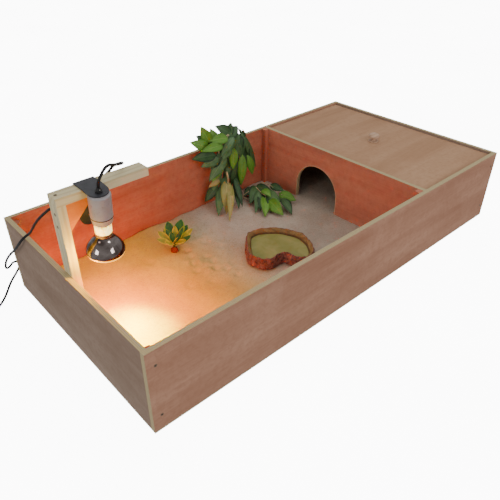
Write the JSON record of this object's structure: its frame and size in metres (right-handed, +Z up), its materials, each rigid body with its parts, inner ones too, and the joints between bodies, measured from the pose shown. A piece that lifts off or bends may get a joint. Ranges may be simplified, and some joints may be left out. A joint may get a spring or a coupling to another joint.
{
  "type": "tortoise table",
  "caption": "Open wooden reptile table with sand run, lidded hide with arched doorway, lamp arm with reflector bulb, bowl and artificial plants.",
  "frame": {"origin": "centre of the base panel's underside, on the floor the table stands on", "axes": "+X along the table towards the hide, +Y from the front board to the back board, +Z up"},
  "size_m": [1.431, 0.7297, 0.4289],
  "materials": {
    "base_ply": "matt",
    "board_ply": "matt stain",
    "lid_ply": "matt",
    "pine": "planed",
    "zinc_steel": "plated",
    "bracket_steel": "satin",
    "porcelain": "glazed",
    "black_plastic": "matt",
    "brass": "plain",
    "cap_metal": "plain",
    "bulb_glass": "part mirrored",
    "flex_rubber": "matt",
    "sand": "granular",
    "bowl_stone": "rough",
    "water": "clear",
    "plant_stone": "rough",
    "small_leaves": "satin",
    "spray_leaves": "satin",
    "spray_wire": "matt"
  },
  "bodies": {
    "table": {"base_panel": "base_ply", "front_board": "board_ply", "back_board": "board_ply", "left_end_board": "board_ply", "right_end_board": "board_ply", "hide_divider": "board_ply", "corner_batten_front_left": "pine", "corner_batten_back_left": "pine", "corner_batten_front_right": "pine", "corner_batten_back_right": "pine", "divider_batten_front": "pine", "divider_batten_back": "pine", "lid_ledge_front": "pine", "lid_ledge_back": "pine", "lid_ledge_end": "pine", "board_screws": "zinc_steel", "divider_screws": "zinc_steel", "ledge_screws": "zinc_steel", "base_pins": "zinc_steel", "lamp_post": "pine", "lamp_beam": "pine", "lamp_gusset": "board_ply", "arm_screws": "zinc_steel", "lamp_bracket": "bracket_steel", "bracket_screws": "zinc_steel", "holder_nipple": "zinc_steel", "nipple_nut": "zinc_steel", "cord_grip": "black_plastic", "grip_screw": "zinc_steel", "holder_body": "porcelain", "holder_seam": "black_plastic", "holder_skirt": "porcelain", "socket_core": "porcelain", "socket_shell": "brass", "socket_contact": "brass", "socket_terminals": "brass", "lamp_flex": "flex_rubber", "flex_coil": "flex_rubber", "plug_strain_relief": "flex_rubber", "plug_body": "black_plastic", "plug_pins": "cap_metal", "sand_bed": "sand"},
    "lid": {"lid_panel": "lid_ply", "lid_knob": "pine", "lid_knob_screw": "zinc_steel"},
    "bulb": {"bulb_cap": "cap_metal", "bulb_insulator": "black_plastic", "bulb_contact": "cap_metal", "bulb_glass": "bulb_glass", "bulb_filament": "cap_metal"},
    "bowl": {"water_bowl": "bowl_stone", "bowl_water": "water"},
    "plant": {"plant_foot": "plant_stone", "plant_leaves": "small_leaves"},
    "spray": {"foliage_spray": "spray_leaves", "foliage_hook": "spray_wire"}
  },
  "joints": [
    {"name": "lid_lift", "type": "slide", "parent": "table", "child": "lid", "axis": [0, 0, 1], "range_m": [0, 0.15]},
    {"name": "bulb_unscrew", "type": "slide", "parent": "table", "child": "bulb", "axis": [0, 0.1045, -0.9945], "range_m": [0, 0.03]},
    {"name": "bowl_lift", "type": "slide", "parent": "table", "child": "bowl", "axis": [0, 0, 1], "range_m": [0, 0.1]},
    {"name": "plant_lift", "type": "slide", "parent": "table", "child": "plant", "axis": [0, 0, 1], "range_m": [0, 0.1]},
    {"name": "spray_lift", "type": "slide", "parent": "table", "child": "spray", "axis": [0, 0, 1], "range_m": [0, 0.1]}
  ]
}
